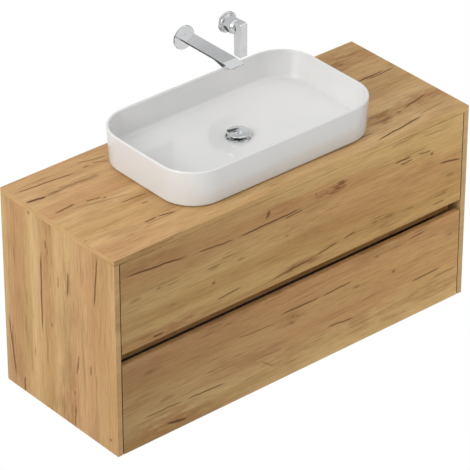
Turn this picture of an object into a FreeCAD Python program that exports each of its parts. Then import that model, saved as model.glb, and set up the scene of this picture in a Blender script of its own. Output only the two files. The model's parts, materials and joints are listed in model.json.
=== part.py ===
"""Wall-hung vanity with a vessel basin, a pop-up waste, a bottle trap and a wall-mounted mixer tap.

Millimetres. +X is to the right, +Y into the wall and +Z up. The wall is the plane y = 0, and the
origin is the centre of the four wall-screw holes, on the middle of the cabinet's width.
"""
import FreeCAD, Part
import math
import os

V = FreeCAD.Vector
X, Y, Z = V(1, 0, 0), V(0, 1, 0), V(0, 0, 1)

# ---------------------------------------------------------------- driving dimensions
WIDTH, DEPTH = 1200.0, 465.0          # cabinet, outside
CARCASS_HEIGHT = 572.0                # side panels
BOARD = 16.0                          # laminated chipboard, worktop included
SCREW_LINE = 530.0                    # wall screws above the cabinet's underside
EDGE_ROUND = 0.8                      # worn-in radius of the laminated edges

FRONT_GAP = 3.0                       # between a side panel and the drawer fronts
LOWER_FRONT_TOP = 270.5               # heights above the underside
UPPER_FRONT_BOTTOM = 304.0
UPPER_FRONT_TOP = 571.2
GRIP_SETBACK, GRIP_BOTTOM, GRIP_TOP = 48.0, 250.0, 325.0

DRAWER_BOARD, DRAWER_BOTTOM = 12.0, 8.0
DRAWER_LENGTH = 400.0                 # drawer box and slides alike
SLIDE_SPACE = 13.0                    # between side panel and drawer box
UPPER_BOX, LOWER_BOX = (338.0, 500.0), (34.0, 204.0)
UPPER_SLIDE_Z, LOWER_SLIDE_Z = 380.0, 80.0

BASIN_X, BASIN_Y = 2.0, -227.0        # drain axis
BASIN_LENGTH, BASIN_WIDTH, BASIN_HEIGHT = 670.0, 396.0, 106.0
BASIN_CORNER, BASIN_TAPER, BASIN_WALL = 107.0, 6.0, 8.0
BASIN_FLOOR = 28.0                    # inside floor above the worktop
DISH = 3.0                            # fall of the floor round the drain

SPOUT_X, SPOUT_Z = 6.5, 808.0         # tap axes, heights above the cabinet's underside
HANDLE_X, HANDLE_Z = 154.0, 803.0

# ---------------------------------------------------------------- places worked out from them
BASE = -SCREW_LINE
TOP_UNDER = BASE + CARCASS_HEIGHT
TOP_FACE = TOP_UNDER + BOARD
FRONT = -DEPTH
HALF = WIDTH / 2
INSIDE = HALF - BOARD                 # inner face of a side panel
BOX_HALF = INSIDE - SLIDE_SPACE       # outer face of a drawer box
FRONT_BACK = FRONT + BOARD            # back face of the drawer fronts
BOX_BACK = FRONT_BACK + DRAWER_LENGTH


# ---------------------------------------------------------------- helpers
def box(x0, x1, y0, y1, z0, z1):
    return Part.makeBox(x1 - x0, y1 - y0, z1 - z0, V(x0, y0, z0))


def rod(radius, start, axis, length):
    return Part.makeCylinder(radius, length, start, axis)


def pipe(outer, inner, start, axis, length):
    return rod(outer, start, axis, length).cut(rod(inner, start, axis, length))


def board(*corners):
    """A laminated board with slightly rounded edges."""
    shape = box(*corners)
    return shape.makeFillet(EDGE_ROUND, shape.Edges)


def round_rect(cx, cy, z, length, width, radius):
    """Wire of a rectangle with round corners, level at height z."""
    ax, ay = length / 2 - radius, width / 2 - radius
    bend = radius * math.sqrt(0.5)
    edges = []
    corners = [(1, 1), (-1, 1), (-1, -1), (1, -1)]
    for i, (sx, sy) in enumerate(corners):
        centre = V(cx + sx * ax, cy + sy * ay, z)
        along_x, along_y = V(sx * radius, 0, 0), V(0, sy * radius, 0)
        start, end = (along_x, along_y) if i % 2 == 0 else (along_y, along_x)
        middle = V(sx * bend, sy * bend, 0)
        edges.append(Part.Arc(centre + start, centre + middle, centre + end).toShape())
        nx, ny = corners[(i + 1) % 4]
        following = V(cx + nx * ax, cy + ny * ay, z)
        step = V(0, ny * radius, 0) if i % 2 == 0 else V(nx * radius, 0, 0)
        edges.append(Part.makeLine(centre + end, following + step))
    return Part.Wire(edges)


def tray(z0, z1, sizes0, sizes1):
    """Solid between two level rounded rectangles, each given as length, width and radius."""
    wires = [round_rect(BASIN_X, BASIN_Y, z, *sizes) for z, sizes in ((z0, sizes0), (z1, sizes1))]
    return Part.makeLoft(wires, True, True)


def level_edges(shape, z, tolerance=0.01):
    """Edges that lie wholly at height z."""
    return [e for e in shape.Edges if abs(e.BoundBox.ZMin - z) < tolerance > abs(e.BoundBox.ZMax - z)]


def revolved(profile, foot, axis_end):
    """Solid turned about the line from foot to foot + axis_end; profile holds (radius, height)."""
    along = V(axis_end).normalize()
    out = X if abs(along.dot(X)) < 0.5 else Z
    points = [foot + out * r + along * h for r, h in profile]
    face = Part.Face(Part.makePolygon(points + points[:1]))
    return face.revolve(foot, along, 360)


def mirrored(shape):
    return shape.mirror(V(0, 0, 0), X)


def both_sides(stem, right_shape, nodes, suffix=""):
    """Stores a right-hand piece and its mirror image."""
    nodes[stem + "_right" + suffix] = right_shape
    nodes[stem + "_left" + suffix] = mirrored(right_shape)


# ---------------------------------------------------------------- cabinet
WASTE_HOLE = 24.0                     # radius through worktop
HANGER_HALF = 22.0
RAIL_FRONT, RAIL_BACK = -36.0, -20.0  # back rails, in front of the wall


def carcass(nodes):
    worktop = board(-HALF, HALF, FRONT, 0, TOP_UNDER, TOP_FACE)
    nodes["worktop"] = worktop.cut(rod(WASTE_HOLE, V(BASIN_X, BASIN_Y, TOP_UNDER), Z, BOARD))
    both_sides("side_panel", board(INSIDE, HALF, FRONT, 0, BASE, TOP_UNDER), nodes)
    nodes["bottom_panel"] = box(-INSIDE, INSIDE, FRONT_BACK + 3, RAIL_BACK, BASE, BASE + BOARD)

    notch_z = (-HANGER_HALF - 2, HANGER_HALF + 10)
    rail = box(-INSIDE, INSIDE, RAIL_FRONT, RAIL_BACK, TOP_UNDER - 100, TOP_UNDER)
    for side in (-1, 1):
        ends = sorted((side * INSIDE, side * (INSIDE - 21)))
        rail = rail.cut(box(*ends, RAIL_FRONT, RAIL_BACK, *notch_z))
    nodes["back_rail_top"] = rail
    nodes["back_rail_bottom"] = box(
        -INSIDE, INSIDE, RAIL_FRONT, RAIL_BACK, BASE + BOARD, BASE + BOARD + 100)

    grip_front = FRONT + GRIP_SETBACK
    nodes["grip_rail"] = board(
        -INSIDE, INSIDE, grip_front, grip_front + BOARD, BASE + GRIP_BOTTOM, BASE + GRIP_TOP)
    nodes["front_stretcher"] = box(
        -INSIDE, INSIDE, FRONT_BACK + 6, FRONT_BACK + 86, TOP_UNDER - BOARD, TOP_UNDER)


# ---------------------------------------------------------------- wall hanging
WALL_HOLE_X, WALL_HOLE_Z, WALL_HOLE_R = 545.0, 16.0, 3.25
PLATE = 2.5


def hanging(nodes):
    """A hook box screwed to each side panel hangs on the tongue of a plate screwed to the wall."""
    plate = box(530, 583, -PLATE, 0, -28, 30)
    ledge = box(564, 583, -10, -PLATE, 6, 6 + PLATE)
    tongue = box(564, 583, -10, -10 + PLATE, 6, HANGER_HALF)
    plate = plate.fuse([ledge, tongue]).removeSplitter()
    for z in (-WALL_HOLE_Z, WALL_HOLE_Z):
        plate = plate.cut(rod(WALL_HOLE_R, V(WALL_HOLE_X, -PLATE, z), Y, PLATE))
    both_sides("wall_plate", plate, nodes)

    housing = box(566, INSIDE, -70, -13, -HANGER_HALF, HANGER_HALF)
    arm = box(569, 581, -20, -4, HANGER_HALF, HANGER_HALF + 5)
    arm = arm.fuse(box(569, 581, -20, -13, 10, HANGER_HALF + 5))
    lip = box(569, 581, -6.5, -4, 12, HANGER_HALF + 5)
    hanger = housing.fuse([arm, lip]).removeSplitter()
    screws = []
    for z in (-10, 10):
        seat = V(575, -70, z)
        hanger = hanger.cut(rod(3.0, seat, Y, 40))
        shank = rod(3.0, seat, Y, 38)
        head = rod(5.5, seat - Y * 3, Y, 3)
        cross = box(575 - 3.5, 575 + 3.5, -73, -71.5, z - 0.6, z + 0.6)
        cross = cross.fuse(box(575 - 0.6, 575 + 0.6, -73, -71.5, z - 3.5, z + 3.5))
        screws.append(head.fuse(shank).cut(cross))
    both_sides("hanger", hanger, nodes)
    nodes["hanger_screws"] = Part.makeCompound(screws + [mirrored(s) for s in screws])


# ---------------------------------------------------------------- basin and drain
FLANGE_R, FLANGE_T = 34.5, 3.0
WASTE_R, WASTE_BORE = 20.8, 17.5
CAP_R, CAP_EDGE, CAP_DOME = 31.5, 1.5, 2.6
PLUG_LIFT = 9.4                       # gap under the open cap
TRAP_Z = 440.0                        # outlet axis above the cabinet's underside

SEAL_T, SEAL_WIDTH = 1.5, 10.0        # silicone under the basin's foot
FOOT_FILLET, FLOOR_FILLET, RIM_FILLET = 9.0, 16.0, 3.6

DRAIN_FLOOR = TOP_FACE + BASIN_FLOOR - DISH
FLANGE_TOP = DRAIN_FLOOR + 2.0


def basin(nodes):
    """The bowl stands on a thin bed of silicone, set back under its foot."""
    outer_low = [s - 2 * BASIN_TAPER for s in (BASIN_LENGTH, BASIN_WIDTH)]
    foot = TOP_FACE + SEAL_T
    rim = TOP_FACE + BASIN_HEIGHT
    outer = tray(foot, rim, (*outer_low, BASIN_CORNER - 5), (BASIN_LENGTH, BASIN_WIDTH, BASIN_CORNER))
    outer = outer.makeFillet(FOOT_FILLET, level_edges(outer, foot))

    floor = TOP_FACE + BASIN_FLOOR
    inner_high = [s - 2 * BASIN_WALL for s in (BASIN_LENGTH, BASIN_WIDTH)]
    inner_low = [s - 2 * 8.0 for s in inner_high]
    radius = BASIN_CORNER - BASIN_WALL
    inner = tray(floor, rim, (*inner_low, radius - 6), (*inner_high, radius))
    inner = inner.makeFillet(FLOOR_FILLET, level_edges(inner, floor))
    shape = outer.cut(inner)
    shape = shape.makeFillet(RIM_FILLET, level_edges(shape, rim))

    drain = V(BASIN_X, BASIN_Y, 0)
    dish = revolved(((0, -DISH), (FLANGE_R + 1.5, -DISH), (95, 0), (95, 5), (0, 5)), drain + Z * floor, Z)
    seat = rod(FLANGE_R + 0.7, drain + Z * (DRAIN_FLOOR - 1), Z, 5)
    hollow = tray(foot, TOP_FACE + 14, (600, 326, 74), (592, 318, 70))
    boss = rod(46, drain + Z * foot, Z, 14)
    bore = rod(WASTE_R + 1.2, drain + Z * (TOP_FACE - 1), Z, BASIN_FLOOR + 5)
    nodes["basin"] = shape.cut(dish).cut(seat).cut(hollow.cut(boss)).cut(bore)

    bead = [s - 2 * (FOOT_FILLET + 2) for s in outer_low]
    bead_corner = BASIN_CORNER - 5 - FOOT_FILLET - 2
    ring = tray(TOP_FACE, foot, (*bead, bead_corner), (*bead, bead_corner))
    inside = [s - 2 * SEAL_WIDTH for s in bead]
    gap = tray(TOP_FACE, foot, (*inside, bead_corner - SEAL_WIDTH), (*inside, bead_corner - SEAL_WIDTH))
    nodes["basin_seal"] = ring.cut(gap)


def waste(nodes):
    """Flange and threaded tube clamp the basin to the worktop; the cap slides in a hub."""
    top = V(BASIN_X, BASIN_Y, FLANGE_TOP)
    tube_end = -(FLANGE_TOP - TOP_UNDER) - 42
    body = revolved((
        (WASTE_BORE, tube_end), (WASTE_R, tube_end), (WASTE_R, -FLANGE_T), (FLANGE_R - 0.8, -FLANGE_T),
        (FLANGE_R, -FLANGE_T + 0.8), (FLANGE_R, -1.2), (FLANGE_R - 1.2, 0), (29, 0),
        (25, -1.6), (WASTE_BORE, -1.6)), top, Z)
    hub_z = -30.0
    hub = pipe(7.5, 4.1, top + Z * hub_z, Z, 12)
    spoke = box(0, WASTE_BORE + 1, -1.5, 1.5, hub_z, hub_z + 12)
    spoke.translate(top)
    for i in range(3):
        turned = spoke.copy()
        turned.rotate(top, Z, 120 * i + 30)
        hub = hub.fuse(turned.cut(rod(4.1, top + Z * hub_z, Z, 12)))
    nodes["waste_body"] = body.fuse(hub).removeSplitter()

    cap_low = PLUG_LIFT
    ball = (CAP_R ** 2 + CAP_DOME ** 2) / (2 * CAP_DOME)
    disc = rod(CAP_R, top + Z * cap_low, Z, CAP_EDGE + CAP_DOME)
    dome = Part.makeSphere(ball, top + Z * (cap_low + CAP_EDGE + CAP_DOME - ball))
    cap = disc.common(dome)
    rim_edge = [e for e in cap.Edges
                if e.BoundBox.XLength > 2 * CAP_R - 1 and e.BoundBox.ZMax > top.z + cap_low + 1]
    cap = cap.makeFillet(0.8, rim_edge)
    stem = rod(4.0, top + Z * (hub_z - 4), Z, cap_low - hub_z + 4)
    collar = rod(11.0, top + Z * (cap_low - 3), Z, 3)
    nodes["waste_plug"] = cap.fuse([collar, stem]).removeSplitter()

    under = V(BASIN_X, BASIN_Y, TOP_UNDER)
    nodes["waste_gasket"] = pipe(33, WASTE_R + 0.4, under - Z * 3, Z, 3)
    nut = hexagon(31, under - Z * 15, 12).fuse(rod(32, under - Z * 5.5, Z, 2.5))
    nodes["waste_nut"] = nut.cut(rod(WASTE_R + 0.05, under - Z * 15, Z, 12))


def hexagon(radius, foot, height):
    points = [foot + V(radius * math.cos(a), radius * math.sin(a), 0)
              for a in (math.radians(60 * i) for i in range(7))]
    return Part.Face(Part.makePolygon(points)).extrude(Z * height)


def trap(nodes):
    """Bottle trap: the inlet tube dips into the cup, and the outlet leaves for the wall."""
    axis = V(BASIN_X, BASIN_Y, 0)
    z_out = BASE + TRAP_Z
    tube_r, tube_bore = 16.0, 14.6
    waste_end = TOP_UNDER - 42

    nut = revolved((
        (tube_r + 0.3, -16), (24, -16), (25.5, -14), (25.5, 10), (WASTE_R + 0.05, 10),
        (WASTE_R + 0.05, -0.5), (tube_r + 0.3, -0.5)), axis + Z * waste_end, Z)
    ribs = [box(24.5, 27, -2, 2, waste_end - 12, waste_end + 8) for _ in range(12)]
    for i, rib in enumerate(ribs):
        rib.translate(axis)
        rib.rotate(axis, Z, 30 * i)
    nodes["trap_coupling_nut"] = nut.fuse(ribs).removeSplitter()

    inlet_top, inlet_low = waste_end + 14, z_out - 50
    nodes["trap_inlet_tube"] = pipe(tube_r, tube_bore, axis + Z * inlet_low, Z, inlet_top - inlet_low)

    body = revolved((
        (tube_r + 0.2, 40), (22, 40), (22, 28), (29, 22), (29, -36), (25.5, -36), (25.5, 19),
        (tube_r + 0.2, 24)), axis + Z * z_out, Z)
    outlet = pipe(19, 14.6, axis + Z * z_out + Y * 22, Y, 26)
    way = rod(14.6, axis + Z * z_out + Y * 18, Y, 30)
    nodes["trap_body"] = body.fuse(outlet).cut(way)

    cup = revolved((
        (0, -70), (24, -70), (33, -63), (33, -21), (29.2, -21), (29.2, -60), (22, -66), (0, -66)),
        axis + Z * z_out, Z)
    nodes["trap_cup"] = cup

    start = BASIN_Y + 48
    run = axis + Z * z_out
    out_nut = revolved((
        (tube_r + 0.3, 6), (22, 6), (23.5, 4), (23.5, -14), (19.05, -14), (19.05, 0.4), (tube_r + 0.3, 0.4)),
        V(BASIN_X, start, z_out), Y)
    nodes["trap_outlet_nut"] = out_nut
    end = 30.0
    straight = rod(tube_r, V(BASIN_X, start + 0.4, z_out), Y, -start - 0.4)
    spigot = rod(20, V(BASIN_X, 0, z_out), Y, end)
    hole = rod(tube_bore, V(run.x, start, z_out), Y, end - start)
    nodes["trap_outlet_pipe"] = straight.fuse(spigot).cut(hole).removeSplitter()
    nodes["trap_rosette"] = revolved((
        (tube_r + 0.3, 0), (tube_r + 0.3, 11), (19, 11), (24, 5), (37, 2), (38, 0)),
        V(BASIN_X, 0, z_out), -Y)


# ---------------------------------------------------------------- wall-mounted mixer tap
ROSETTE_T = 4.0
BLADE_HALF, BLADE_T = 23.2, 5.0
BLADE_TOP = 9.5                       # above the spout's axis
REACH, NOSE = 186.0, 30.0             # flat top, then the sloping nose
PIVOT_Y = -30.0                       # ball centre of the handle
DOME_R = 22.0
THREAD_END, RELIEF = 18.0, 1.0        # the spout's thread, and the groove behind each thread


def spout(nodes):
    axis = V(SPOUT_X, 0, BASE + SPOUT_Z)
    top = axis.z + BLADE_TOP

    def at(out, depth):
        return V(SPOUT_X - BLADE_HALF, -out, top - depth)

    outline = [(ROSETTE_T, 0), (REACH, 0), (REACH + NOSE, 5.5), (REACH + NOSE, 8.5), (REACH + 6, 16)]
    edges = [Part.makeLine(at(*a), at(*b)) for a, b in zip(outline, outline[1:])]
    edges.append(Part.Arc(at(REACH + 6, 16), at(REACH - 13, 10.5), at(REACH - 36, BLADE_T)).toShape())
    edges.append(Part.makeLine(at(REACH - 36, BLADE_T), at(ROSETTE_T, BLADE_T)))
    edges.append(Part.makeLine(at(ROSETTE_T, BLADE_T), at(ROSETTE_T, 0)))
    blade = Part.Face(Part.Wire(edges)).extrude(X * 2 * BLADE_HALF)
    across = [e for e in blade.Edges if e.BoundBox.XLength < 0.01 and e.BoundBox.YMin > -REACH - NOSE + 1]
    along = [e for e in across if e.BoundBox.YLength > REACH / 2]
    blade = blade.makeFillet(1.2, along)

    belly = box(SPOUT_X - 14, SPOUT_X + 14, -REACH, -ROSETTE_T, top - 13, top - 2)
    thread = rod(10.2, axis + Y * THREAD_END, -Y, THREAD_END - RELIEF)
    shank = rod(9.8, axis + Y * RELIEF, -Y, RELIEF + 6)
    shape = blade.fuse([belly, thread, shank]).removeSplitter()
    water = rod(3.8, V(SPOUT_X, THREAD_END, top - 7.6), -Y, THREAD_END + REACH + 12)
    feed = rod(6.0, axis + Y * THREAD_END, -Y, THREAD_END)
    outlet = V(SPOUT_X, -REACH - 9, top - 20)
    aerator_bore = rod(9.0, outlet, Z, 14)
    nodes["spout"] = shape.cut(water).cut(feed).cut(aerator_bore)

    nodes["spout_rosette"] = revolved((
        (10.5, 0), (34, 0), (34, 3.0), (33, ROSETTE_T), (10.5, ROSETTE_T)), axis, -Y)
    ring = pipe(8.9, 6.5, outlet + Z * 2, Z, 12)
    mesh = rod(6.5, outlet + Z * 4, Z, 3)
    for i in range(-2, 3):
        mesh = mesh.cut(box(outlet.x - 6, outlet.x + 6, outlet.y + 2.4 * i - 0.6, outlet.y + 2.4 * i + 0.6,
                            outlet.z + 3, outlet.z + 8))
    nodes["spout_aerator"] = ring.fuse(mesh)


def handle(nodes):
    """A lever on a ball-ended sleeve: it turns about Y for heat and tilts about X for flow."""
    axis = V(HANDLE_X, 0, BASE + HANDLE_Z)
    pivot = axis + Y * PIVOT_Y

    nodes["handle_rosette"] = revolved((
        (15.3, 0), (30, 0), (30, 4), (29, 5), (26.5, 5), (25.6, 8.5), (24.6, 9.5), (15.3, 9.5)), axis, -Y)

    barrel = rod(DOME_R, axis - Y * 9.5, -Y, -PIVOT_Y - 9.5)
    ball = Part.makeSphere(DOME_R, pivot)
    skin = barrel.fuse(ball.common(box(
        axis.x - 30, axis.x + 30, pivot.y - 30, pivot.y, axis.z - 30, axis.z + 30)))
    cavity = rod(18.0, axis - Y * 9.5, -Y, 26).fuse(rod(13.5, axis - Y * 30, -Y, 30))
    nodes["handle_sleeve"] = skin.cut(cavity).removeSplitter()

    core = rod(15.0, axis + Y * 15, -Y, 15 - RELIEF).fuse(rod(14.6, axis + Y * RELIEF, -Y, 12))
    core = core.fuse(rod(17.6, axis - Y * 11, -Y, 13))
    core = core.cut(rod(12.2, axis - Y * 12, -Y, 12))
    nodes["cartridge_body"] = core.cut(rod(5, axis + Y * 15, -Y, 20)).removeSplitter()

    disc = rod(12.0, axis - Y * 13, -Y, 11)
    ears = disc.fuse([box(axis.x + s * 7.5 - 1.5, axis.x + s * 7.5 + 1.5, pivot.y - 5, pivot.y + 6,
                          axis.z - 5, axis.z + 5) for s in (-1, 1)])
    pin = rod(2.0, pivot - X * 9, X, 18)
    nodes["cartridge_carrier"] = ears.fuse(pin).removeSplitter()

    eye = rod(4.6, pivot - X * 5.6, X, 11.2)
    shaft = box(axis.x - 4, axis.x + 4, pivot.y - 31, pivot.y, axis.z - 4, axis.z + 4)
    stem = eye.fuse(shaft).cut(rod(2.05, pivot - X * 6, X, 12))
    nodes["cartridge_stem"] = stem.removeSplitter()

    half, back, front = 11.5, -42.0, -70.0
    high, low = axis.z + 20.5, axis.z - 79
    bar = box(axis.x - half, axis.x + half, front, back, low, high)
    nose = [e for e in bar.Edges if e.BoundBox.XLength > half and e.BoundBox.YMax < front + 1]
    bar = bar.makeFillet(4.5, nose)
    flanks = [e for e in bar.Edges if e.BoundBox.XLength < 0.01]
    heel = [e for e in bar.Edges if e.BoundBox.XLength > half and e.BoundBox.YMin > back - 0.1]
    bar = bar.makeFillet(1.3, flanks + heel)
    bar = bar.cut(Part.makeSphere(DOME_R + 0.5, pivot))
    bar = bar.cut(box(axis.x - 4, axis.x + 4, pivot.y - 31, pivot.y, axis.z - 4, axis.z + 4))
    seat = V(axis.x + half, pivot.y - 26.5, axis.z)
    nodes["tap_lever"] = bar.cut(rod(2.5, seat, -X, half - 4))
    screw = rod(2.5, seat - X * 1.0, -X, half - 5.0)
    nodes["lever_screw"] = screw.cut(rod(1.25, seat - X * 1.0, -X, 2.5))


# ---------------------------------------------------------------- drawers
NICHE_HALF, NICHE_FRONT = 80.0, -300.0
NICHE_WALL = 4.0


def drawer_front(z0, z1):
    reach = INSIDE - FRONT_GAP
    return board(-reach, reach, FRONT, FRONT_BACK, BASE + z0, BASE + z1)


def drawer_sides(stem, heights, nodes):
    low, high = (BASE + h for h in heights)
    side = box(BOX_HALF - DRAWER_BOARD, BOX_HALF, FRONT_BACK, BOX_BACK, low, high)
    both_sides(stem + "_side", side, nodes)
    return low, high, BOX_HALF - DRAWER_BOARD


def upper_drawer(nodes):
    """The box bends round a niche, open to the back, that clears the trap."""
    nodes["upper_front"] = drawer_front(UPPER_FRONT_BOTTOM, UPPER_FRONT_TOP)
    low, high, reach = drawer_sides("upper", UPPER_BOX, nodes)
    outer = NICHE_HALF + NICHE_WALL
    for name, ends in (("left", (-reach, BASIN_X - outer)), ("right", (BASIN_X + outer, reach))):
        nodes["upper_back_" + name] = box(*ends, BOX_BACK - DRAWER_BOARD, BOX_BACK, low, high)

    def tongue(half, front, z0, z1):
        """Plan of the niche: straight sides and a round front."""
        block = box(BASIN_X - half, BASIN_X + half, front, BOX_BACK, z0, z1)
        corners = [e for e in block.Edges if e.BoundBox.ZLength > z1 - z0 - 1 and e.BoundBox.YMax < front + 1]
        return block.makeFillet(50.0, corners)

    wall = tongue(outer, NICHE_FRONT - NICHE_WALL, low, high)
    nodes["upper_niche_surround"] = wall.cut(tongue(NICHE_HALF, NICHE_FRONT, low, high))
    floor_z = low + 6
    floor = box(-reach, reach, FRONT_BACK, BOX_BACK - DRAWER_BOARD, floor_z, floor_z + DRAWER_BOTTOM)
    niche = tongue(outer, NICHE_FRONT - NICHE_WALL, floor_z, floor_z + DRAWER_BOTTOM)
    nodes["upper_bottom"] = floor.cut(niche)


def lower_drawer(nodes):
    nodes["lower_front"] = drawer_front(0, LOWER_FRONT_TOP)
    low, high, reach = drawer_sides("lower", LOWER_BOX, nodes)
    nodes["lower_back"] = box(-reach, reach, BOX_BACK - DRAWER_BOARD, BOX_BACK, low, high)
    floor_z = low + 6
    nodes["lower_bottom"] = box(
        -reach, reach, FRONT_BACK, BOX_BACK - DRAWER_BOARD, floor_z, floor_z + DRAWER_BOTTOM)


# ---------------------------------------------------------------- drawer slides
def channel(web_x, thickness, lip_x, half_height, y0, y1, z):
    """A C section along Y, with its web at web_x and its lips reaching to lip_x."""
    inward = 1 if lip_x > web_x else -1
    web = sorted((web_x, web_x + inward * thickness))
    span = sorted((web_x, lip_x))
    shape = box(*web, y0, y1, z - half_height, z + half_height)
    for side in (-1, 1):
        edge = sorted((z + side * half_height, z + side * (half_height - thickness)))
        shape = shape.fuse(box(*span, y0, y1, *edge))
    return shape.removeSplitter()


def slides(nodes):
    """Telescopic slides: a cabinet member, a middle member at half speed and a drawer member."""
    for drawer, height in (("upper", UPPER_SLIDE_Z), ("lower", LOWER_SLIDE_Z)):
        z = BASE + height
        stem = "slide_" + drawer
        members = {
            "_cabinet": channel(INSIDE, 1.5, INSIDE - 9.5, 22.5, FRONT_BACK + 3, BOX_BACK + 3, z),
            "_middle": channel(INSIDE - 2.1, 1.2, BOX_HALF + 2.4, 18.5, FRONT_BACK + 5, BOX_BACK - 15, z),
            "_drawer": channel(BOX_HALF, 1.2, BOX_HALF + 8.6, 14.5, FRONT_BACK, BOX_BACK, z),
        }
        for member, shape in members.items():
            both_sides(stem, shape, nodes, member)


def main():
    nodes = {}
    for build in (carcass, hanging, basin, waste, trap, spout, handle, upper_drawer, lower_drawer, slides):
        build(nodes)
    os.makedirs("parts", exist_ok=True)
    for name, shape in nodes.items():
        shape.exportStep(f"parts/{name}.step")
        print(f"{name}: {len(shape.Solids)} solid(s), valid {shape.isValid()}, {shape.Volume / 1000:.1f} cm3")


main()
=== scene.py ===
"""Looks of a wall-hung oak vanity with a vessel basin and a wall-mounted lever tap."""
import json
import math
from typing import NamedTuple

import bmesh
import bpy
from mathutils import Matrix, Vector


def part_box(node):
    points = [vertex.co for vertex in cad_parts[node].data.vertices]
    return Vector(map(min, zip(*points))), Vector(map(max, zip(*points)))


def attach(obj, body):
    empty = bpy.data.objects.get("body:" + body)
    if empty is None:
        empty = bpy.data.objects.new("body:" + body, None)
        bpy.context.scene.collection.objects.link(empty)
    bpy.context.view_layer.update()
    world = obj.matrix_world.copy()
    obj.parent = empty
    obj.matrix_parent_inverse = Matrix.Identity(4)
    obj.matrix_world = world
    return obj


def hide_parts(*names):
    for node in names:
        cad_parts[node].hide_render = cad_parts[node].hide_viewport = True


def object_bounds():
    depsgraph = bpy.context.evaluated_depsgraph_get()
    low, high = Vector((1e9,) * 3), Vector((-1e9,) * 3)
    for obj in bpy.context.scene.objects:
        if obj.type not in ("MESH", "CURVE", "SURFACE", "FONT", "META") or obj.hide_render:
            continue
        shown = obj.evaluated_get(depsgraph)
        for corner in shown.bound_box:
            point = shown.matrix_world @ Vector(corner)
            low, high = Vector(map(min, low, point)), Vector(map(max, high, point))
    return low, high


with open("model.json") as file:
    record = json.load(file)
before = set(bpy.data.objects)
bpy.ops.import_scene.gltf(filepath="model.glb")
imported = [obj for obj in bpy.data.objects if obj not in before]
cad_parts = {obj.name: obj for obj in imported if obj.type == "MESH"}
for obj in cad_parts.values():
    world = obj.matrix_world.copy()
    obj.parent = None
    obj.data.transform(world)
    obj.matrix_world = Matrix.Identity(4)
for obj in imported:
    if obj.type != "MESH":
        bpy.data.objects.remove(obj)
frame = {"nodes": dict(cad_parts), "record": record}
cad_low, cad_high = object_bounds()
NODES = frame["nodes"]
SLOTS = {part["node"]: part["material_slot"] for part in frame["record"]["subparts"]}
MM = 0.001
WHITE = (1.0, 1.0, 1.0, 1.0)


# ---------------------------------------------------------------- shader trees
MIX_FACTOR, MIX_FIRST, MIX_SECOND, MIX_RESULT = 0, 6, 7, 2      # a mix node's sockets for colours
CREVICE_SAMPLES = 8
NOISE_MEAN, NOISE_RANGE = 0.5, (0.3, 0.7)


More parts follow.
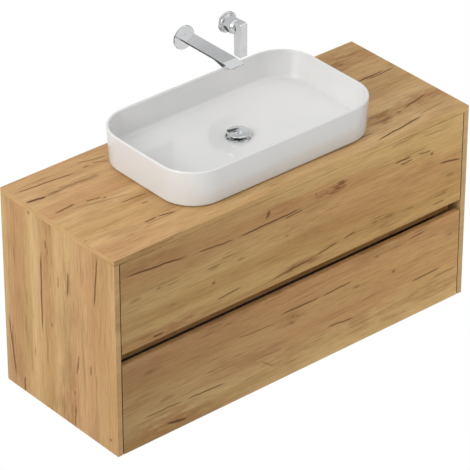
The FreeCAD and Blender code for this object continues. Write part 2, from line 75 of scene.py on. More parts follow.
class Tree:
    """A small writer of node trees: each call adds its nodes and returns their output."""

    def __init__(self, tree):
        self.tree = tree

    def add(self, kind, **settings):
        """Adds a node of one kind, with its properties, and returns the node itself."""
        node = self.tree.nodes.new(kind)
        for name, value in settings.items():
            setattr(node, name, value)
        return node

    def feed(self, socket, value):
        """Links the socket to another one, or sets its value."""
        if isinstance(value, bpy.types.NodeSocket):
            self.tree.links.new(value, socket)
        else:
            socket.default_value = value

    def fill(self, node, values):
        """Feeds a node's inputs by their names."""
        for name, value in values.items():
            self.feed(node.inputs[name], value)

    def line(self, node, values):
        """Feeds a node's first inputs in their order."""
        for socket, value in zip(node.inputs, values):
            self.feed(socket, value)

    def math(self, operation, *values, clamp=False):
        """The result of an operation on one, two or three numbers."""
        node = self.add("ShaderNodeMath", operation=operation, use_clamp=clamp)
        self.line(node, values)
        return node.outputs[0]

    def ramp(self, value, low, high, to_low=0.0, to_high=1.0, smooth=True):
        """Takes low..high to to_low..to_high and holds the ends outside it."""
        kind = "SMOOTHSTEP" if smooth else "LINEAR"
        node = self.add("ShaderNodeMapRange", interpolation_type=kind)
        self.line(node, (value, low, high, to_low, to_high))
        return node.outputs[0]

    def vector(self, x, y, z):
        """A vector, or a colour, of three numbers."""
        node = self.add("ShaderNodeCombineXYZ")
        self.line(node, (x, y, z))
        return node.outputs[0]

    def split(self, vector):
        """The three numbers of a vector."""
        node = self.add("ShaderNodeSeparateXYZ")
        self.feed(node.inputs[0], vector)
        return list(node.outputs)

    def noise(self, place, scale, detail=2.0, roughness=0.5):
        """A noise about NOISE_MEAN, nearly all of it within NOISE_RANGE."""
        node = self.add("ShaderNodeTexNoise")
        self.fill(node, {"Vector": place, "Scale": scale, "Detail": detail, "Roughness": roughness})
        return node.outputs["Fac"]

    def mix(self, factor, first, second, blend="MIX"):
        """The first colour where the factor is 0, blended with the second where it is 1."""
        node = self.add("ShaderNodeMix", data_type="RGBA", blend_type=blend, clamp_factor=True)
        for index, value in ((MIX_FACTOR, factor), (MIX_FIRST, first), (MIX_SECOND, second)):
            self.feed(node.inputs[index], value)
        return node.outputs[MIX_RESULT]

    def times(self, color, *levels):
        """The colour times one level, or times one level for each channel."""
        return self.mix(1.0, color, self.vector(*(levels if len(levels) == 3 else levels * 3)), "MULTIPLY")

    def pick(self, switch, chosen, other):
        """The chosen number where the switch is 1, the other where it is 0."""
        return self.math("MULTIPLY_ADD", self.math("SUBTRACT", chosen, other), switch, other)

    def bump(self, height, strength, distance):
        """A normal with relief. The distance is the relief's full height, in metres."""
        node = self.add("ShaderNodeBump")
        self.fill(node, {"Height": height, "Strength": strength, "Distance": distance})
        return node.outputs[0]

    def openness(self, reach):
        """1 in the open, towards 0 in a crevice that is narrower than the reach, in metres."""
        node = self.add("ShaderNodeAmbientOcclusion", samples=CREVICE_SAMPLES)
        self.feed(node.inputs["Distance"], reach)
        return node.outputs["AO"]

    def ray(self, kind):
        """1 for rays of one kind, such as "Is Camera Ray"."""
        return self.add("ShaderNodeLightPath").outputs[kind]

    def place(self):
        """The point on the object, in metres, and its three numbers."""
        point = self.add("ShaderNodeTexCoord").outputs["Object"]
        return point, self.split(point)

    def facing(self, least=0.7):
        """Three switches: 1 where the surface faces along x, along y or along z."""
        parts = self.split(self.add("ShaderNodeTexCoord").outputs["Normal"])
        return [self.math("GREATER_THAN", self.math("ABSOLUTE", part), least) for part in parts]

    def use(self, group, *values):
        """The outputs of a node group that is fed with the values in their order."""
        node = self.add("ShaderNodeGroup", node_tree=group)
        self.line(node, values)
        return list(node.outputs)


def srgb(*levels):
    """A colour given by its 0-255 screen levels, as linear light."""
    linear = [v / 12.92 if v <= 0.04045 else ((v + 0.055) / 1.055) ** 2.4
              for v in (level / 255 for level in levels)]
    return (*linear, 1.0)


def empty_material(name):
    """A material with only its output. Returns the material, its tree and the output's socket."""
    material = bpy.data.materials.new(name)
    material.use_nodes = True
    t = Tree(material.node_tree)
    t.tree.nodes.clear()
    return material, t, t.add("ShaderNodeOutputMaterial").inputs["Surface"]


def new_material(name):
    """A material with only a shader and its output. Returns the material, its tree and the shader."""
    material, t, surface = empty_material(name)
    shader = t.add("ShaderNodeBsdfPrincipled")
    t.feed(surface, shader.outputs[0])
    return material, t, shader


# ---------------------------------------------------------------- oak laminate
PALE = srgb(214, 178, 126)
TAN = srgb(193, 153, 101)
RED = srgb(192, 143, 100)
DARK = srgb(146, 106, 62)
RUST = srgb(150, 98, 58)
KNOT = srgb(112, 74, 38)
CRACK = srgb(84, 52, 22)
BOUNCED = srgb(196, 182, 160)

# Noises of the decor: (frequency per metre along the grain, frequency across it, detail, roughness, offset)
NOISES = {
    "sway": (1.6, 5.0, 2.0, 0.50, 3.1),
    "wiggle": (9.0, 26.0, 2.0, 0.50, 7.7),
    "broad": (0.9, 13.0, 3.0, 0.55, 11.3),
    "streaks": (2.6, 60.0, 5.0, 0.65, 19.9),
    "fibres": (20.0, 320.0, 3.0, 0.70, 29.4),
    "pores": (7.0, 190.0, 4.0, 0.65, 31.8),
    "warmth": (0.8, 7.0, 2.0, 0.50, 41.5),
    "strokes": (9.0, 170.0, 2.0, 0.50, 67.2),
    "clouds": (4.0, 11.0, 3.0, 0.60, 53.6),
    "ripple": (22.0, 0.0, 3.0, 0.50, 0.0),
    "blotches": (16.0, 75.0, 4.0, 0.65, 0.0),
}
# Paint over the pale ground, one coat after the other: (noise, none at, full at, strength, colour)
COATS = (
    ("broad", 0.34, 0.66, 1.00, TAN),
    ("warmth", 0.46, 0.70, 0.65, RED),
    ("clouds", 0.50, 0.75, 0.40, DARK),
    ("streaks", 0.52, 0.78, 0.45, DARK),
    ("streaks", 0.46, 0.24, 0.35, PALE),
    ("pores", 0.54, 0.72, 0.45, DARK),
)
SWAY_SIZE, WIGGLE_SIZE, RIPPLE_SIZE = 0.020, 0.0035, 0.008      # metres across the grain
FLECK_STROKES, FLECK_CLOUDS = (0.62, 0.72), (0.42, 0.60)        # flecks lie where both noises are high
FLECK_DEPTH = 0.60
FIBRE_LEVELS, FIBRE_SHADES = (0.25, 0.75), (0.82, 1.14)
FIBRE_RELIEF, PORE_RELIEF = 0.4, -0.6
RELIEF_RANGE = (-0.3, 0.3)
HALO = 2.6               # a crack's brown halo, as a multiple of its own half width
HALO_FULL, HALO_DEPTH = 0.8, 0.35
CORE = (0.55, 0.85)      # a crack's dark core starts and is full at these levels of its halo
TAPER_POWER = 6.0        # the higher, the later a crack tapers towards its ends


def make_group(name, inputs, outputs):
    """A node group of float inputs. Returns the group, its tree, its inputs inside and its output node."""
    group = bpy.data.node_groups.new(name, "ShaderNodeTree")
    for label in inputs:
        group.interface.new_socket(label, in_out="INPUT", socket_type="NodeSocketFloat")
    for label, kind in outputs:
        group.interface.new_socket(label, in_out="OUTPUT", socket_type="NodeSocket" + kind)
    t = Tree(group)
    start = t.add("NodeGroupInput")
    return group, t, start.outputs[:len(inputs)], t.add("NodeGroupOutput")


def grain(t, name, along, across, board):
    """One of the decor's noises at a point of a board."""
    u_scale, v_scale, detail, roughness, offset = NOISES[name]
    place = t.vector(t.math("MULTIPLY", along, u_scale), t.math("MULTIPLY", across, v_scale),
                     t.math("ADD", board, offset))
    return t.noise(place, 1.0, detail, roughness)


def shifted(t, name, size, along, across, board, start):
    """The start, moved to and fro across the grain by one of the noises."""
    swing = t.math("SUBTRACT", grain(t, name, along, across, board), NOISE_MEAN)
    return t.math("MULTIPLY_ADD", swing, size, start)


def figure_group():
    """The oak's colour and relief at a point (along the grain, across it, which board)."""
    group, t, (along, across, board), end = make_group(
        "oak_figure", ("Along", "Across", "Board"), (("Color", "Color"), ("Relief", "Float")))
    wavy = shifted(t, "sway", SWAY_SIZE, along, across, board, across)
    wavy = shifted(t, "wiggle", WIGGLE_SIZE, along, across, board, wavy)
    level = {name: grain(t, name, along, wavy, board)
             for name in ("broad", "streaks", "fibres", "pores", "warmth", "strokes", "clouds")}

    color = PALE
    for name, low, high, strength, coat in COATS:
        color = t.mix(t.ramp(level[name], low, high, 0.0, strength), color, coat)
    flecks = t.math("MULTIPLY", t.ramp(level["strokes"], *FLECK_STROKES),
                    t.ramp(level["clouds"], *FLECK_CLOUDS))
    color = t.mix(t.math("MULTIPLY", flecks, FLECK_DEPTH), color, KNOT)
    color = t.times(color, t.ramp(level["fibres"], *FIBRE_LEVELS, *FIBRE_SHADES, smooth=False))

    relief = t.math("MULTIPLY", level["pores"], PORE_RELIEF)
    relief = t.math("MULTIPLY_ADD", level["fibres"], FIBRE_RELIEF, relief)
    t.line(end, (color, relief))
    return group


def crack_group():
    """A thin wavy line between two points that tapers to its ends: its brown halo and its dark core.

    Halo and Core are also inputs: what earlier cracks left. The stronger of the two stays."""
    group, t, sockets, end = make_group(
        "oak_crack",
        ("Along", "Across", "From", "To", "Foot", "Head", "Width", "Depth", "Halo", "Core"),
        (("Halo", "Float"), ("Core", "Float")))
    along, across, first, last, foot, head, width, depth, halo, core = sockets
    line = t.ramp(along, first, last, foot, head, smooth=False)
    share = t.ramp(along, first, last, -1.0, 1.0, smooth=False)
    fade = t.math("SUBTRACT", 1.0, t.math("POWER", t.math("ABSOLUTE", share), TAPER_POWER))
    apart = t.math("ABSOLUTE", t.math("SUBTRACT", across, line))
    reach = t.math("MULTIPLY", width, HALO)
    near = t.math("SUBTRACT", 1.0, t.math("DIVIDE", apart, reach), clamp=True)
    near = t.math("MULTIPLY", near, fade)
    t.line(end, (t.math("MAXIMUM", t.math("MULTIPLY", near, depth), halo),
                 t.math("MAXIMUM", t.math("MULTIPLY", t.ramp(near, *CORE), depth), core)))
    return group


def knot_group():
    """How much of a knot, a smudge or a blush shows: an oval. Before is what earlier ones left."""
    group, t, sockets, end = make_group(
        "oak_knot", ("Along", "Across", "X", "Y", "Length", "Width", "Depth", "Before"),
        (("Mask", "Float"),))
    along, across, x, y, length, width, depth, before = sockets
    dx = t.math("DIVIDE", t.math("SUBTRACT", along, x), length)
    dy = t.math("DIVIDE", t.math("SUBTRACT", across, y), width)
    far = t.math("ADD", t.math("MULTIPLY", dx, dx), t.math("MULTIPLY", dy, dy))
    near = t.math("MULTIPLY", t.ramp(far, 1.0, 0.0), depth)
    t.line(end, (t.math("MAXIMUM", near, before),))
    return group


FIGURE_GROUP, CRACK_GROUP, KNOT_GROUP = figure_group(), crack_group(), knot_group()

# Marks of each face, in millimetres: a crack is (from, to, across at from, across at to, width, depth),
# a knot, a smudge or a blush is (along, across, half length, half width, depth).
TOP_CRACKS = (
    (-600, -405, -49, -66, 2.2, 0.75), (-600, -535, -104, -113, 4.0, 0.95),
    (-545, -350, -110, -108, 3.0, 0.35), (-505, -355, -101, -116, 6.0, 0.30),
    (-480, -430, -194, -206, 3.0, 0.60), (-575, -500, -193, -186, 4.0, 0.55),
    (-545, -350, -199, -241, 3.0, 0.30), (-420, -325, -258, -262, 2.5, 0.60),
    (-430, -384, -371, -368, 2.5, 0.80), (-388, -330, -368, -379, 2.5, 0.80),
    (455, 560, -180, -178, 2.4, 0.85), (485, 592, -189, -184, 2.2, 0.70),
    (450, 560, -367, -343, 3.0, 0.65), (280, 480, -447, -424, 2.4, 0.95),
    (455, 575, -417, -405, 2.5, 0.35), (-385, -290, -30, -54, 3.0, 0.45),
    (-350, -305, -52, -75, 2.5, 0.50))
# the knots at 362, -350 and 368, -388 and the blush at 368, -366 darken a patch just right of the basin's
# foot
TOP_KNOTS = (
    (-370, -60, 14, 4, 0.7), (-428, -212, 9, 5, 0.6), (-366, -296, 14, 6, 0.45),
    (434, -372, 10, 5, 0.65), (487, -82, 12, 5, 0.6), (362, -350, 22, 8, 0.4),
    (368, -388, 14, 5, 0.4), (-515, -110, 40, 9, 0.35))
TOP_BLUSHES = (
    (470, -70, 190, 60, 0.55), (525, -355, 110, 45, 0.60), (368, -366, 48, 34, 0.90),
    (-470, -110, 150, 40, 0.35), (-360, -270, 90, 30, 0.35), (-560, -430, 90, 30, 0.25))
UPPER_CRACKS = (
    (-581, -355, 530, 510, 2.4, 0.90), (-340, -205, 507, 497, 2.2, 0.70),
    (-215, 25, 498, 501, 2.4, 0.85), (-50, 22, 492, 494, 2.0, 0.65),
    (-275, -185, 340, 345, 2.5, 0.55), (-485, -445, 317, 316, 3.0, 0.75),
    (-95, 60, 323, 335, 2.8, 0.60), (55, 145, 335, 348, 2.8, 0.60),
    (155, 205, 348, 356, 2.5, 0.55), (333, 397, 508, 510, 2.6, 0.70),
    (353, 402, 497, 499, 2.4, 0.65), (418, 468, 505, 500, 2.4, 0.55),
    (496, 581, 448, 434, 2.4, 0.80), (480, 533, 349, 347, 2.2, 0.45),
    (477, 526, 326, 326, 2.0, 0.55), (315, 410, 564, 566, 3.0, 0.30),
    (-110, -94, 512, 538, 3.5, 0.85))
UPPER_KNOTS = (
    (-282, 395, 9, 6, 0.7), (-282, 440, 26, 9, 0.35), (-460, 454, 9, 5, 0.45),
    (-535, 448, 26, 7, 0.35), (470, 488, 8, 6, 0.7), (539, 398, 20, 6, 0.4),
    (269, 356, 12, 5, 0.45), (321, 355, 22, 8, 0.35), (118, 505, 18, 4, 0.50),
    (100, 511, 14, 3.5, 0.45), (136, 512, 12, 5, 0.55), (152, 521, 10, 6, 0.60),
    (143, 528, 14, 3, 0.45), (84, 507, 12, 3, 0.40), (125, 520, 16, 3, 0.40),
    (62, 523, 5, 8, 0.40), (-100, 526, 9, 13, 0.50), (-37, 438, 9, 5, 0.35),
    (-31, 418, 8, 4, 0.3), (-192, 429, 16, 6, 0.3), (0, 333, 40, 10, 0.35))
UPPER_BLUSHES = (
    (-420, 322, 230, 26, 0.55), (20, 331, 95, 16, 0.80), (112, 512, 66, 21, 1.00),
    (150, 518, 28, 17, 1.00), (-60, 528, 90, 22, 0.45), (-470, 540, 130, 24, 0.35),
    (60, 420, 160, 30, 0.25), (410, 460, 120, 26, 0.30))
LOWER_CRACKS = (
    (-520, -375, 82, 79, 2.2, 0.60), (-385, -235, 79, 72, 2.2, 0.70),
    (-62, 90, 203, 200, 2.2, 0.80), (80, 200, 200, 204, 2.2, 0.70),
    (-215, -60, 193, 182, 2.0, 0.40), (104, 208, 96, 84, 2.6, 0.65),
    (392, 457, 251, 255, 2.2, 0.60), (405, 520, 112, 114, 2.4, 0.70),
    (486, 581, 92, 94, 2.2, 0.50), (-445, -368, 31, 20, 3.5, 0.75),
    (-125, -75, 86, 50, 3.0, 0.30))
LOWER_KNOTS = (
    (-497, 216, 22, 6, 0.40), (-439, 110, 34, 9, 0.40), (-13, 179, 7, 4, 0.45),
    (2, 174, 7, 4, 0.40), (-17, 161, 14, 6, 0.45), (280, 245, 10, 5, 0.50),
    (343, 173, 9, 7, 0.60), (210, 180, 14, 6, 0.45), (548, 208, 10, 5, 0.35),
    (-405, 25, 26, 7, 0.45))
LOWER_BLUSHES = (
    (-430, 40, 190, 44, 0.60), (-60, 60, 180, 40, 0.35), (250, 60, 160, 40, 0.45),
    (480, 60, 150, 40, 0.40), (-20, 172, 70, 24, 0.50), (-500, 240, 110, 22, 0.30))
SIDE_CRACKS = (
    (215, 480, -160, -163, 2.6, 0.85), (490, 520, -185, -184, 3.0, 0.60),
    (405, 575, -380, -397, 2.4, 0.85), (388, 470, -271, -277, 3.0, 0.60),
    (395, 437, -233, -234, 2.4, 0.45), (20, 220, -40, -14, 2.6, 0.85),
    (-6, 50, -74, -77, 2.6, 0.75), (128, 234, -178, -182, 2.2, 0.40),
    (164, 238, -300, -313, 3.0, 0.50), (194, 228, -359, -361, 3.0, 0.50),
    (-6, 76, -288, -294, 2.6, 0.60))
SIDE_KNOTS = (
    (567, -118, 6, 8, 0.60), (271, -202, 10, 5, 0.50), (198, -306, 16, 5, 0.45),
    (107, -291, 9, 5, 0.60), (38, -436, 6, 8, 0.60), (430, -274, 40, 12, 0.25))
SIDE_BLUSHES = (
    (60, -270, 110, 60, 0.45), (420, -270, 120, 34, 0.40), (60, -60, 120, 30, 0.30),
    (330, -180, 130, 26, 0.25))


class Face(NamedTuple):
    """How the decor lies on a board. An axis is 0 for x, 1 for y and 2 for z."""
    along: int                      # the axis along the grain
    across: int                     # the axis across it
    zero: float                     # the height that upright marks are measured from
    board: float                    # the board's number, which gives it a figure of its own
    cracks: tuple = ()
    knots: tuple = ()
    blushes: tuple = ()
    painted_light_tones: tuple = (1.0, 1.0)       # brightness at either end, TONE_END from the middle: painted light and shade
    tint: tuple = (1.0, 1.0, 1.0)


TONE_END = 0.6
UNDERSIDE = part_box("side_panel_left")[0].z
SIDE_PAINTED_LIGHT_TONES = (0.965, 0.965)
# painted light and shade: the fronts are darker towards the left end and lighter towards the right
UPPER_FACE = Face(0, 2, UNDERSIDE, 2.0, UPPER_CRACKS, UPPER_KNOTS, UPPER_BLUSHES,
                  painted_light_tones=(0.78, 1.17), tint=(1.0, 0.99, 0.87))
OAK_FACES = {
    "worktop": Face(0, 1, 0.0, 1.0, TOP_CRACKS, TOP_KNOTS, TOP_BLUSHES,
                    painted_light_tones=(1.05, 1.00), tint=(1.0, 0.99, 1.0)),
    "upper_front": UPPER_FACE,
    "lower_front": Face(0, 2, UNDERSIDE, 3.0, LOWER_CRACKS, LOWER_KNOTS, LOWER_BLUSHES,
                        painted_light_tones=(0.71, 1.22), tint=(1.0, 1.0, 0.92)),
    "side_panel_left": Face(2, 1, UNDERSIDE, 4.0, SIDE_CRACKS, SIDE_KNOTS, SIDE_BLUSHES, SIDE_PAINTED_LIGHT_TONES),
    # the photo doesn't show the right side: it has every second mark of the left one
    "side_panel_right": Face(2, 1, UNDERSIDE, 5.0, SIDE_CRACKS[::2], SIDE_KNOTS[::2], SIDE_BLUSHES,
                             SIDE_PAINTED_LIGHT_TONES),
    # the grip rail is drawn far lighter than the other boards: painted light in its shaded recess
    "grip_rail": Face(0, 2, UNDERSIDE, 6.0, painted_light_tones=(1.55, 1.80), tint=(1.05, 0.97, 0.86)),
}
CARCASS_FACE = Face(0, 2, 0.0, 7.0)
TOP_END_SHIFT = 2.0                 # takes the worktop's ends away from the marks of its top
BLOTCHES = (0.36, 0.62)             # a blush shows from the first level of its noise to the second
OAK_PAINTED_SHADE_REACH = 0.010                 # painted shade: narrower gaps between boards are drawn darker
CREVICE_LEVELS, CREVICE_SHADES = (0.10, 0.50), (0.20, 1.0)
OAK_ROUGHNESS = (0.52, 0.42)        # of pores and of fibres
OAK_SPECULAR = 0.12
OAK_BUMP, OAK_BUMP_HEIGHT = 0.25, 0.0003
BOUNCED_SHARE = 0.55                # how much paler the light that the oak gives to other surfaces is


def laid(t, group, marks, along, across, *before):
    """Lays marks of one kind over each other, from what was there before."""
    for *measures, depth in marks:
        before = t.use(group, along, across, *(v * MM for v in measures), depth, *before)
    return before


def oak(name, face):
    """The decor on one board: its figure under painted light and shade, then its blushes, knots and cracks,
    then painted shade in crevices.
    """
    material, t, shader = new_material("oak_" + name)
    _, parts = t.place()
    if face.zero:
        parts[2] = t.math("SUBTRACT", parts[2], face.zero)
    along, across, board = parts[face.along], parts[face.across], face.board
    on_end, on_front, on_level = t.facing()
    if face.along == 0:      # on a board's end the grain runs from front to back
        along = t.pick(on_end, parts[1], along)
    if name == "worktop":    # its front edge looks like the drawer front below
        across = t.pick(on_front, t.math("SUBTRACT", parts[2], UNDERSIDE), across)
        across = t.pick(on_end, t.math("ADD", parts[2], TOP_END_SHIFT), across)
        board = t.pick(on_front, UPPER_FACE.board, board)

    color, relief = t.use(FIGURE_GROUP, along, across, board)
    # painted light and shade: the board's brightness ramps from one end to the other
    tone = t.ramp(along, -TONE_END, TONE_END, *face.painted_light_tones, smooth=False)
    tint = face.tint
    # the worktop's front edge takes the fronts' painted light and shade
    if name == "worktop":
        front_painted_light = t.ramp(along, -TONE_END, TONE_END, *UPPER_FACE.painted_light_tones, smooth=False)
        tone = t.pick(on_front, front_painted_light, tone)
        tint = [t.pick(on_front, front, top) for front, top in zip(UPPER_FACE.tint, tint)]
    color = t.times(color, *(t.math("MULTIPLY", tone, level) for level in tint))

    bent = shifted(t, "ripple", RIPPLE_SIZE, along, across, board, across)
    blush, = laid(t, KNOT_GROUP, face.blushes, along, bent, 0.0)
    smudge, = laid(t, KNOT_GROUP, face.knots, along, bent, 0.0)
    halo, core = laid(t, CRACK_GROUP, face.cracks, along, bent, 0.0, 0.0)
    uneven = t.ramp(grain(t, "blotches", along, across, board), *BLOTCHES)
    color = t.mix(t.math("MULTIPLY", blush, uneven), color, RUST)
    color = t.mix(smudge, color, KNOT)
    color = t.mix(t.ramp(halo, 0.0, HALO_FULL, 0.0, HALO_DEPTH), color, KNOT)
    color = t.mix(core, color, CRACK)

    # painted shade: the colour darkens in narrow gaps and recesses, except on level faces
    painted_crevice_shade = t.ramp(t.openness(OAK_PAINTED_SHADE_REACH), *CREVICE_LEVELS, *CREVICE_SHADES)
    color = t.times(color, t.pick(on_level, 1.0, painted_crevice_shade))
    bounced = t.math("MULTIPLY", t.ray("Is Diffuse Ray"), BOUNCED_SHARE)
    t.fill(shader, {
        "Base Color": t.mix(bounced, color, BOUNCED),
        "Roughness": t.ramp(relief, *RELIEF_RANGE, *OAK_ROUGHNESS, smooth=False),
        "Specular IOR Level": OAK_SPECULAR,
        "Normal": t.bump(t.math("SUBTRACT", relief, core), OAK_BUMP, OAK_BUMP_HEIGHT),
    })
    return material


# ---------------------------------------------------------------- other materials
FINE_SHARE, WIDE_SHARE = 0.6, 0.4       # of the two noises in the gloss of a speckled surface
SPECK_HEIGHT, PEEL_HEIGHT = 0.0002, 0.0004
# painted shade on the drain: its reach in metres, and the openness at which the chrome is darkest and at
# which it is plain
DRAIN_CREVICE, DRAIN_LEVELS = 0.014, (0.25, 0.60)


def speckled(name, tone, other, scale, roughness, spread, metallic=0.0, bump=0.1, specular=0.5,
             stretch=(1.0, 1.0, 1.0)):
    """Two close tones in a fine noise, with uneven gloss and a slight relief."""
    material, t, shader = new_material(name)
    point, parts = t.place()
    stretched = t.vector(*(t.math("MULTIPLY", part, factor) for part, factor in zip(parts, stretch)))
    fine = t.noise(stretched, scale, detail=3.0, roughness=0.6)
    wide = t.noise(point, scale=9.0)
    blend = t.math("ADD", t.math("MULTIPLY", fine, FINE_SHARE), t.math("MULTIPLY", wide, WIDE_SHARE))
    t.fill(shader, {
        "Base Color": t.mix(t.ramp(fine, *NOISE_RANGE), srgb(*tone), srgb(*other)),
        "Roughness": t.ramp(blend, *NOISE_RANGE, roughness, roughness + spread, smooth=False),
        "Normal": t.bump(fine, bump, SPECK_HEIGHT),
        "Metallic": metallic,
        "Specular IOR Level": specular,
    })
    return material


def painted_shade_drain_chrome():
    """Chrome with painted shade: its colour goes dark where little light reaches it, as under the plug's
    cap.
    """
    material, t, shader = new_material("painted_shade_drain_chrome")
    fine = t.noise(t.place()[0], scale=120.0)
    lit = t.ramp(t.openness(DRAIN_CREVICE), *DRAIN_LEVELS)
    t.fill(shader, {
        "Base Color": t.mix(lit, srgb(10, 10, 10), t.mix(fine, srgb(226, 228, 229), srgb(232, 233, 234))),
        "Roughness": t.ramp(fine, *NOISE_RANGE, 0.05, 0.09),
        "Metallic": 1.0,
    })
    return material


def ceramic():
    """White glaze: a faint orange peel, slow changes of tone and gloss, and a thin clear coat."""
    material, t, shader = new_material("glazed_ceramic")
    point, _ = t.place()
    orange_peel = t.noise(point, scale=45.0)
    slow = t.noise(point, scale=6.0)
    t.fill(shader, {
        "Base Color": t.mix(t.ramp(slow, *NOISE_RANGE), srgb(230, 230, 229), srgb(234, 233, 231)),
        "Roughness": t.ramp(slow, *NOISE_RANGE, 0.10, 0.16),
        "Normal": t.bump(orange_peel, 0.03, PEEL_HEIGHT),
        "Coat Weight": 0.25,
        "Coat Roughness": 0.05,
    })
    return material


# slot: (first tone, second tone, scale of the specks, least roughness, spread of roughness, other settings)
SPECKLED = {
    # drawer boxes in dark brown: painted shade for the dim recess behind the fronts
    "drawer_board": ((66, 57, 48), (76, 66, 56), 900.0, 0.50, 0.15, {"specular": 0.2}),
    "zinc_steel": ((176, 180, 186), (196, 198, 200), 260.0, 0.28, 0.20, {"metallic": 1.0}),
    "slide_steel": ((184, 187, 190), (200, 202, 204), 300.0, 0.25, 0.20,
                    {"metallic": 1.0, "stretch": (8.0, 0.3, 8.0)}),
    "chrome": ((229, 231, 232), (233, 234, 235), 120.0, 0.05, 0.05, {"metallic": 1.0, "bump": 0.01}),
    "white_plastic": ((228, 228, 225), (234, 234, 231), 700.0, 0.30, 0.10, {}),
    "rubber": ((38, 38, 38), (50, 50, 50), 900.0, 0.60, 0.20, {}),
    "silicone": ((120, 116, 108), (132, 128, 120), 500.0, 0.35, 0.15, {}),
    "brass": ((196, 160, 92), (210, 176, 110), 400.0, 0.22, 0.18, {"metallic": 1.0}),
    "black_plastic": ((30, 30, 31), (42, 42, 43), 800.0, 0.40, 0.20, {}),
    "grey_plastic": ((140, 140, 138), (150, 150, 148), 900.0, 0.50, 0.15, {}),
}
MATERIALS = {"carcass_board": oak("carcass", CARCASS_FACE), "glazed_ceramic": ceramic()}
for slot, (*looks, settings) in SPECKLED.items():
    MATERIALS[slot] = speckled(slot, *looks, **settings)
PAINTED_SHADE_DRAIN_CHROME = painted_shade_drain_chrome()
for name, node in NODES.items():
    if name in OAK_FACES:
        chosen = oak(name, OAK_FACES[name])
    elif name.startswith("waste_") and SLOTS[name] == "chrome":
        chosen = PAINTED_SHADE_DRAIN_CHROME
    else:
        chosen = MATERIALS[SLOTS[name]]
    for held in node.material_slots:
        held.material = chosen


# ---------------------------------------------------------------- meshes
SHARP_ANGLE = math.radians(35.0)


def new_object(name, bm):
    """An object of the finished mesh, in the scene."""
    mesh = bpy.data.meshes.new(name)
    bm.to_mesh(mesh)
    bm.free()
    made = bpy.data.objects.new(name, mesh)
    bpy.context.scene.collection.objects.link(made)
    return made


def arc_corners(points, steps):
    """A polyline of (x, y, radius) with an arc of that radius at each corner that has one."""
    done = []
    for i, (x, y, radius) in enumerate(points):
        here = Vector((x, y))
        if not radius:
            done.append(here)
            continue
        before = (Vector(points[i - 1][:2]) - here).normalized()
        after = (Vector(points[i + 1][:2]) - here).normalized()
        half = before.angle(after) / 2
        middle = here + (before + after).normalized() * radius / math.sin(half)
        start = here + before * radius / math.tan(half) - middle
        end = here + after * radius / math.tan(half) - middle
        sweep = start.angle_signed(end)
        for k in range(steps + 1):
            turn = -sweep * k / steps
            c, s = math.cos(turn), math.sin(turn)
            done.append(middle + Vector((start.x * c - start.y * s, start.x * s + start.y * c)))
    return done


def loft(name, rings):
    """A closed skin over rings of points, each as long as the next, with the last joined to the first."""
    bm = bmesh.new()
    skin = [[bm.verts.new(point) for point in ring] for ring in rings]
    for low, high in zip(skin, skin[1:] + skin[:1]):
        for i in range(len(low)):
            j = (i + 1) % len(low)
            bm.faces.new((low[i], low[j], high[j], high[i]))
    bmesh.ops.recalc_face_normals(bm, faces=bm.faces)
    for face in bm.faces:
        face.smooth = True
    for edge in bm.edges:
        edge.smooth = edge.calc_face_angle(0.0) < SHARP_ANGLE
    return new_object(name, bm)


# ---------------------------------------------------------------- basin, in millimetres
CORNER_STEPS, LONG_STEPS, SHORT_STEPS, PROFILE_STEPS = 24, 14, 6, 10
basin_low, basin_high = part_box("basin")
CENTRE = (basin_low + basin_high) / 2
LENGTH, WIDTH = ((basin_high - basin_low) / MM)[:2]
FOOT, RIM = basin_low.z / MM, basin_high.z / MM
CORNER_R = 107.0
FLOOR = RIM - 78.0
OUTER_TAPER, WALL, INNER_TAPER = 6.0, 8.0, 8.0
RIM_ROUND, FOOT_ROUND, RING_ROUND, FLOOR_ROUND = 3.7, 9.0, 1.5, 11.0
FOOT_RING, HOLLOW = 35.0, 12.5          # the foot's inner edge, from the rim, and the hollow inside it
FLAT_INSET = 60.0                       # from here inwards the floor is flat, up to the dish
FLAT_SHARES = (0.25, 0.5, 0.75)         # where the flat floor's rings lie on the way to the dish
DISH = ((95.0, 0.0), (88.0, 0.12), (78.0, 0.5), (66.0, 1.1), (52.0, 1.9), (42.0, 2.6), (36.2, 3.0),
        (35.4, 3.3), (35.2, 4.0), (22.0, 4.0))      # round the drain: (radius, depth under the floor)
DRAIN_R, BOSS_R = 22.0, 46.0


def outline(inset):
    """Plan of the basin, inset from its rim, about its centre."""
    radius = CORNER_R - inset
    reach_x, reach_y = LENGTH / 2 - CORNER_R, WIDTH / 2 - CORNER_R
    arcs = []
    for quarter, (side_x, side_y) in enumerate(((1, 1), (-1, 1), (-1, -1), (1, -1))):
        angles = [math.radians(90 * (quarter + k / CORNER_STEPS)) for k in range(CORNER_STEPS + 1)]
        arcs.append([Vector((side_x * reach_x + radius * math.cos(angle),
                             side_y * reach_y + radius * math.sin(angle))) for angle in angles])
    points = []
    for arc, following, steps in zip(arcs, arcs[1:] + arcs[:1], (LONG_STEPS, SHORT_STEPS) * 2):
        points += arc
        points += [arc[-1].lerp(following[0], k / steps) for k in range(1, steps)]
    return points


def raised(plan, height):
    """The plan, about the basin's centre, as a ring of points in metres at a height in millimetres."""
    return [Vector((CENTRE.x + p.x * MM, CENTRE.y + p.y * MM, height * MM)) for p in plan]


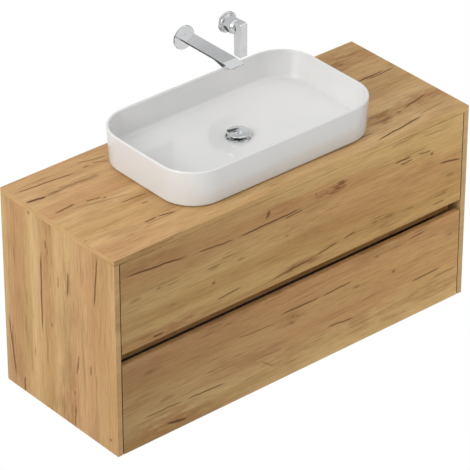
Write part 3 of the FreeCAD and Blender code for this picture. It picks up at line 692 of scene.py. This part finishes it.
profile = arc_corners((
    (FOOT_RING, FOOT + HOLLOW, 0), (FOOT_RING, FOOT, RING_ROUND), (OUTER_TAPER, FOOT, FOOT_ROUND),
    (0.0, RIM, RIM_ROUND), (WALL, RIM, RIM_ROUND), (WALL + INNER_TAPER, FLOOR, FLOOR_ROUND),
    (FLAT_INSET, FLOOR, 0)), PROFILE_STEPS)
drain = [(radius, FLOOR - depth) for radius, depth in DISH]
drain += [(DRAIN_R, FOOT), (BOSS_R, FOOT), (BOSS_R, FOOT + HOLLOW)]
directions = [p.normalized() for p in outline(0.0)]
shell_rings = [raised(outline(inset), height) for inset, height in profile]
drain_rings = [raised([d * radius for d in directions], height) for radius, height in drain]
floor_rings = [[a.lerp(b, share) for a, b in zip(shell_rings[-1], drain_rings[0])]
               for share in FLAT_SHARES]
basin = loft("basin_bowl", shell_rings + floor_rings + drain_rings)
basin.data.materials.append(MATERIALS["glazed_ceramic"])
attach(basin, "root")
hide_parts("basin")


# ---------------------------------------------------------------- stage, light and camera
FLOOR_HALF, FLOOR_DROP = 9.0, 0.25
FLOOR_GLOW, GLOW_SPREAD = 0.80, 0.03
HORIZON, OVERHEAD, SKY_RISE = 0.42, 0.92, (0.45, 0.80)
CARD_PATCHES = (0.95, 1.05)
CARD_HEIGHTS = (0.20, 0.46)             # the heights at which a card has its low and its high glow


def camera_only(t, shown, hidden):
    """One shader for what the camera sees, another for every other ray."""
    blend = t.add("ShaderNodeMixShader")
    t.line(blend, (t.ray("Is Camera Ray"), hidden, shown))
    return blend.outputs[0]


def glow(t, level, kind="ShaderNodeEmission"):
    """White light of one level, from a surface or, as a background, from the sky."""
    shader = t.add(kind)
    t.fill(shader, {"Color": WHITE, "Strength": level})
    return shader.outputs[0]


def flat_object(name, corners):
    """A flat object with four corners."""
    bm = bmesh.new()
    bm.faces.new([bm.verts.new(corner) for corner in corners])
    return new_object(name, bm)


def studio_floor():
    """A floor that is plain white to the camera, so that no shadow shows, and a little dimmer otherwise."""
    half = FLOOR_HALF
    floor = flat_object("studio_floor", [(-half, -half, 0.0), (half, -half, 0.0), (half, half, 0.0),
                                         (-half, half, 0.0)])
    floor.location.z = cad_low.z - FLOOR_DROP
    material, t, surface = empty_material("studio_floor")
    patches = t.noise(t.place()[0], scale=0.8)
    level = t.ramp(patches, *NOISE_RANGE, FLOOR_GLOW - GLOW_SPREAD, FLOOR_GLOW + GLOW_SPREAD)
    t.feed(surface, camera_only(t, glow(t, 1.0), glow(t, level)))
    floor.data.materials.append(material)


def area_light(name, place, target, size, power):
    """A square light, in metres and watts, that faces a target."""
    light = bpy.data.lights.new(name, "AREA")
    light.shape = "SQUARE"
    light.size = size
    light.energy = power
    lamp = bpy.data.objects.new(name, light)
    lamp.location = place
    lamp.rotation_euler = (Vector(target) - Vector(place)).to_track_quat("-Z", "Y").to_euler()
    bpy.context.scene.collection.objects.link(lamp)


def sky():
    """White to the camera; to every other ray, bright overhead and dimmer near the horizon."""
    world = bpy.data.worlds.new("studio")
    bpy.context.scene.world = world
    world.use_nodes = True
    t = Tree(world.node_tree)
    t.tree.nodes.clear()
    rise = t.split(t.add("ShaderNodeTexCoord").outputs["Generated"])[2]
    level = t.ramp(rise, *SKY_RISE, HORIZON, OVERHEAD)
    kind = "ShaderNodeBackground"
    output = t.add("ShaderNodeOutputWorld")
    t.feed(output.inputs[0], camera_only(t, glow(t, 1.0, kind), glow(t, level, kind)))


def mirror_card(name, across, upright, low, high, back):
    """A card before the wall, seen only in reflections. Its glow goes from low to high up the wall."""
    (left, right), (foot, head) = across, upright
    card = flat_object(name, [(left, back, foot), (right, back, foot), (right, back, head),
                              (left, back, head)])
    material, t, surface = empty_material(name)
    point, parts = t.place()
    patches = t.ramp(t.noise(point, scale=20.0), *NOISE_RANGE, *CARD_PATCHES)
    level = t.math("MULTIPLY", patches, t.ramp(parts[2], *CARD_HEIGHTS, low, high, smooth=False))
    t.feed(surface, glow(t, level))
    card.data.materials.append(material)
    for ray in ("camera", "diffuse", "transmission", "volume_scatter", "shadow"):
        setattr(card, "visible_" + ray, False)


studio_floor()
sky()
area_light("key", place=(-4.3, -0.8, 2.2), target=(0.0, -0.2, 0.0), size=2.6, power=103.0)
area_light("fill", place=(1.9, -2.2, 2.1), target=(0.1, -0.2, 0.1), size=1.8, power=5.0)
mirror_card("card_wall", (-1.0, 1.4), (-0.2, 0.455), low=0.72, high=0.50, back=0.006)
mirror_card("card_behind_spout", (-0.185, -0.028), (0.11, 0.32), low=0.10, high=0.10, back=0.003)
mirror_card("card_behind_handle", (0.105, 0.200), (0.20, 0.266), low=0.12, high=0.12, back=0.003)

CAMERA_PLACE = Vector((-4.799761, -5.885855, 4.396447))
AZIMUTH, ELEVATION = math.radians(-40.244), math.radians(31.878)
LENS, SENSOR_WIDTH = 253.74, 36.0       # millimetres
CLIP_END = 60.0
back = Vector((math.sin(AZIMUTH) * math.cos(ELEVATION), -math.cos(AZIMUTH) * math.cos(ELEVATION),
               math.sin(ELEVATION)))
camera = bpy.data.objects.new("camera", bpy.data.cameras.new("camera"))
camera.location = CAMERA_PLACE
camera.rotation_euler = (-back).to_track_quat("-Z", "Y").to_euler()
camera.data.lens = LENS
camera.data.sensor_width = SENSOR_WIDTH
camera.data.clip_end = CLIP_END
bpy.context.scene.collection.objects.link(camera)
bpy.context.scene.camera = camera
bpy.context.scene.view_settings.view_transform = "Standard"
